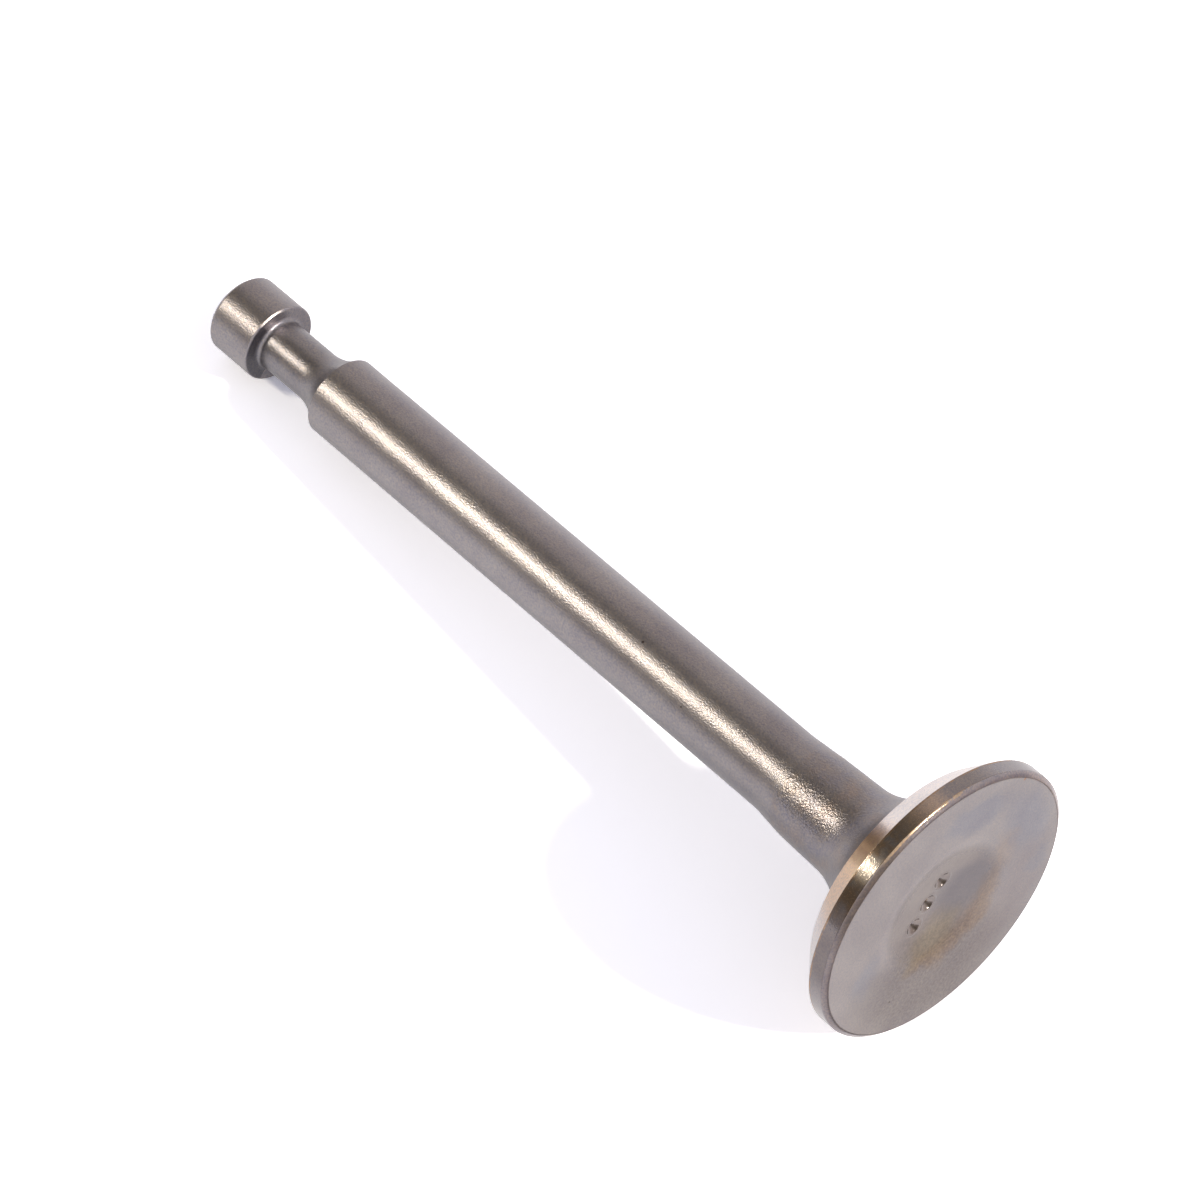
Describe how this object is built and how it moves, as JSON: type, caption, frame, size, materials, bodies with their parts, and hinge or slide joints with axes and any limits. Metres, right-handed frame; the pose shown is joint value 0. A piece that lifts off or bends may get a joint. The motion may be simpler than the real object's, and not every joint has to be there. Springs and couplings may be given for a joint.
{
  "type": "engine valve",
  "caption": "One-piece poppet valve: flat dished head with a 45 degree seat, ground stem, and a necked tip for a keeper.",
  "frame": {"origin": "centre of the head face, in the plane of its flat ring", "axes": "+Z along the valve axis from the head to the tip; +X and +Y are free about that axis, set only by the punch row in the dish"},
  "size_m": [0.028, 0.028, 0.0949],
  "materials": {
    "valve_steel": "satin dark grey-brown alloy steel, centreless-ground stem, as-forged neck, ground seat, faint heat tint on the head face"
  },
  "bodies": {
    "root": {"valve": "valve_steel"}
  },
  "joints": []
}
